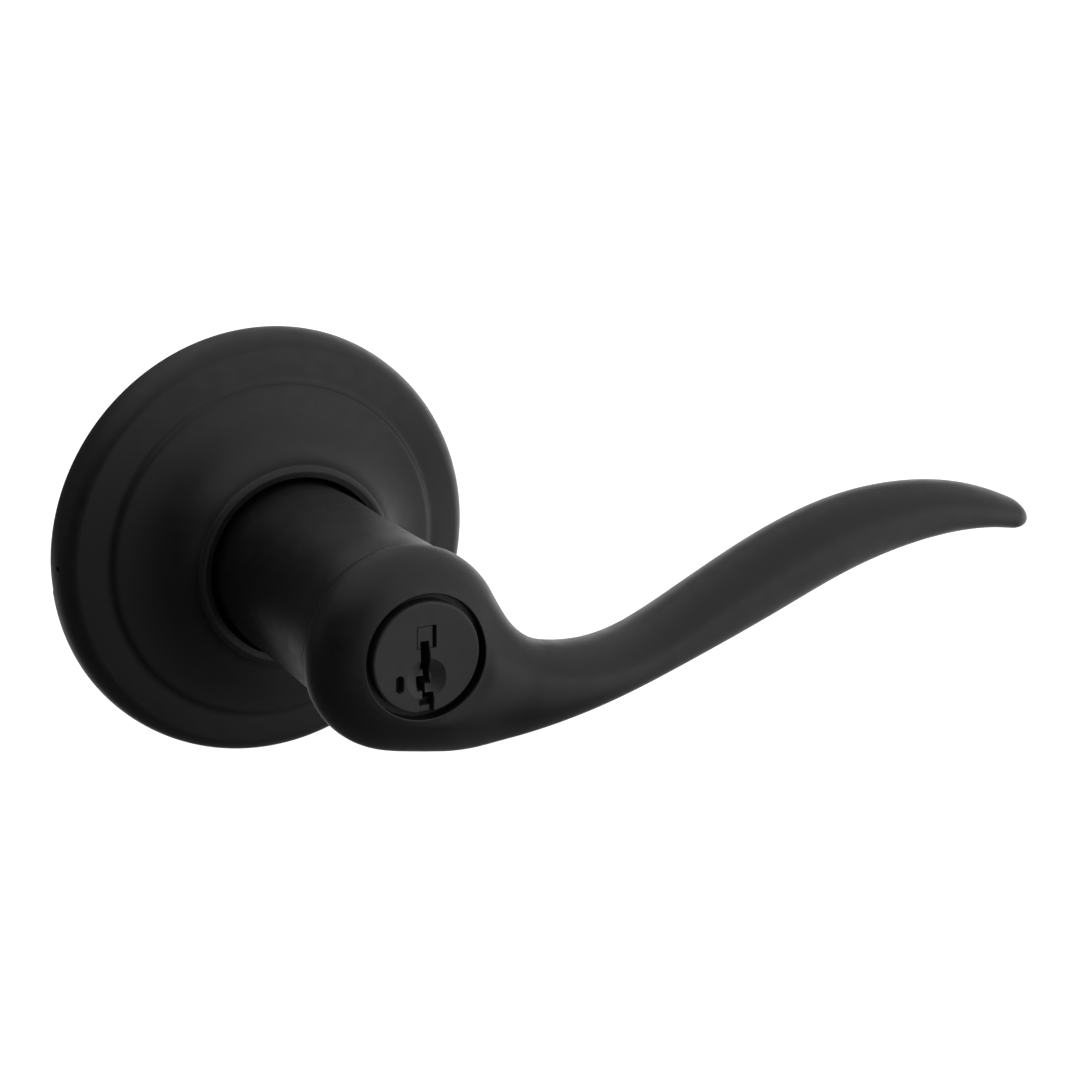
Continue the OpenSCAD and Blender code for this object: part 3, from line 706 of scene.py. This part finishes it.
def finish_works():
    """The parts behind the rose and in the plug keep their CAD shape; most get rounded edges."""
    finish = [
        (ZINC, "zinc_steel", 0, ["chassis_plate"]),
        (ZINC, "zinc_steel", 0.2, ["post_left", "post_right", "latch_spindle", "lever_catch"]),
        (ZINC, "zinc_steel", 0.1, ["spring_cover"]),
        (STEEL, "zinc_steel", 0.12, ["driver_plate", "torque_blade", "cover_screws"]),
        (SPRING, "spring_steel", 0, ["return_spring", "wave_washer", "catch_spring", "bar_springs"]),
        (SPRING, "spring_steel", 0, numbered("pin_spring")),
        (DARK, "dark_steel", 0.1, ["tube_circlip", "cylinder_ring", "plug_clip", "spindle_carrier"]),
        (BLACKENED, "black_plug", 0.12, ["cylinder_body"]),
        (BRASS, "brass", 0.15, ["drive_tube"]),
        (BRASS, "brass", 0.06, ["locking_bar", "rack_carrier", "spring_cap"] + numbered("pin")),
        (NICKEL, "zinc_steel", 0.05, numbered("rack")),
        (NYLON, "nylon", 0.15, ["spindle_bush"]),
    ]
    for material, slot, rounding, nodes in finish:
        for name in nodes:
            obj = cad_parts[name]
            obj.data.materials.clear()
            obj.data.materials.append(material)
            if rounding:
                soften(obj, rounding)


make_lever()
make_rose()
make_plug()
make_key_stop()
make_insert()
finish_works()


# ---------------------------------------------------------------- stage, light and camera

AIM = Vector((33.2, -30.0, 3.8)) * MM
AZIMUTH, ELEVATION, ROLL = -27.0, 17.55, 0.43
DISTANCE, LENS = 530.7 * MM, 118.3
# The backdrop in mm: half its width, its front end, the floor, the wall, the curve and the wall's top
SHEET_HALF, SHEET_FRONT, FLOOR, WALL, CURVE, WALL_TOP = 4500.0, 6000.0, -300.0, -2600.0, 900.0, 1100.0
# Ways over the floor, as seen from the front left: to the right and away
SHEET_RIGHT, SHEET_AWAY = (0.891, -0.454, 0), (0.454, 0.891, 0)
# The sheet's glow behind the object and at the right, and the tone of the shade painted on it beside and left
# of the object
GLOW_BEHIND, GLOW_RIGHT, FLOOR_PAINTED_SHADE = 0.95, 0.75, 0.1
# The ceiling: dim and full strength, and the upward parts of a direction between which it brightens
CEILING = (0.03, 0.72, 0.45, 0.85)
# The same for the soft wall, with the azimuth and elevation of its middle
WALL_WAY, WALL_LIGHT = (60, 20), (0.0, 0.78, 0.15, 0.65)
# Soft boxes: azimuth, elevation, strength, and how far from the middle each ends and is full, in degrees
BOXES = [(32, 0, 0.45, 32, 12), (-113, 5, 0.2, 28, 12), (165, 36, 0.25, 32, 12)]


def way(azimuth, elevation):
    """The direction from the object to a place round it; azimuth 0 is in front and 90 on the right."""
    a, e = math.radians(azimuth), math.radians(elevation)
    return Vector((math.sin(a) * math.cos(e), -math.cos(a) * math.cos(e), math.sin(e)))


def camera_axes():
    """The camera's right, up and backward directions."""
    r = math.radians(ROLL)
    back = way(AZIMUTH, ELEVATION)
    right = (-back).cross(Vector((0, 0, 1))).normalized()
    up = right.cross(-back)
    return math.cos(r) * right + math.sin(r) * up, math.cos(r) * up - math.sin(r) * right, back


def make_camera():
    right, up, back = camera_axes()
    camera = bpy.data.objects.new("camera", bpy.data.cameras.new("camera"))
    camera.data.lens, camera.data.sensor_width = LENS, 36.0
    camera.data.clip_start, camera.data.clip_end = 0.05, 30.0
    turned_to = Matrix((right, up, back)).transposed().to_4x4()
    camera.matrix_world = Matrix.Translation(AIM + back * DISTANCE) @ turned_to
    bpy.context.scene.collection.objects.link(camera)
    bpy.context.scene.camera = camera


def make_backdrop():
    """A pale sheet that curves up behind the object, painted darker beside it and left of it as painted
    shade, and glows in part.
    """
    rise = [(WALL + CURVE + CURVE * math.cos(t), FLOOR + CURVE + CURVE * math.sin(t))
            for t in np.radians(np.linspace(-90, -180, 19))]
    line = [(SHEET_FRONT, FLOOR)] + rise + [(WALL, WALL_TOP)]
    points = [(x, height, out) for out, height in line for x in (-SHEET_HALF, SHEET_HALF)]
    quads = [(2 * i, 2 * i + 1, 2 * i + 3, 2 * i + 2) for i in range(len(line) - 1)]
    sheet = new_piece("backdrop", points, quads)
    shader = Shader("backdrop_white", Roughness=0.9)
    place = shader.place
    # Painted shade: the sheet's colour goes dark near the object and to its left, and stays pale far off and
    # to the right.
    far = shader.ramp(shader.length(place), 0.14, 1.0, 0.5, 0.95)
    bearing = shader.along(shader.unit(place), (1, 0, 0))
    ahead = shader.maths("MULTIPLY", far, shader.ramp(bearing, 0.0, 1.0, -0.65, -0.2))
    wide = shader.ramp(shader.along(place, (1, 0, 0)), 0.0, 1.0, 0.2, 0.5)
    pale = shader.maths("MAXIMUM", ahead, wide)
    mottled = shader.ramp(shader.noise(400.0), 0.36, 0.38)
    shader.set("Base Color", shader.mix(pale, grey(FLOOR_PAINTED_SHADE), mottled))
    across = shader.along(place, SHEET_RIGHT)
    away = shader.along(place, SHEET_AWAY)
    sides = shader.maths("ADD", shader.ramp(across, 0, 1, -1.0, -0.62), shader.ramp(across, 0, 0.3, 0.1, 0.6))
    behind = shader.maths("MULTIPLY", shader.ramp(away, 0, GLOW_BEHIND, 0.22, 0.42), sides)
    right = shader.maths("MULTIPLY", shader.ramp(bearing, 0, GLOW_RIGHT, 0.1, 0.45), pale)
    shader.set("Emission Strength", shader.maths("MAXIMUM", right, behind))
    shader.set("Emission Color", grey(1.0))
    sheet.data.materials.append(shader.material)
    smooth(sheet)


def make_light():
    """A soft studio: a dim room, a wide pale ceiling, a large soft wall on the right and three soft boxes."""
    world = bpy.data.worlds.new("studio")
    world.use_nodes = True
    room = Graph(world.node_tree)
    facing = room.node("ShaderNodeTexCoord").outputs["Generated"]
    ceiling = room.ramp(room.along(facing, (0, 0, 1)), *CEILING)
    wall = room.ramp(room.along(facing, way(*WALL_WAY)), *WALL_LIGHT)
    total = room.maths("MAXIMUM", ceiling, wall)
    for azimuth, elevation, strength, outer, inner in BOXES:
        ends = (math.cos(math.radians(outer)), math.cos(math.radians(inner)))
        towards = room.along(facing, way(azimuth, elevation))
        total = room.maths("ADD", total, room.ramp(towards, 0.0, strength, *ends))
    background = world.node_tree.nodes["Background"]
    room.feed(background.inputs["Strength"], total)
    room.feed(background.inputs["Color"], grey(1.0))
    bpy.context.scene.world = world


make_camera()
make_backdrop()
make_light()
bpy.context.scene.view_settings.view_transform = "Standard"
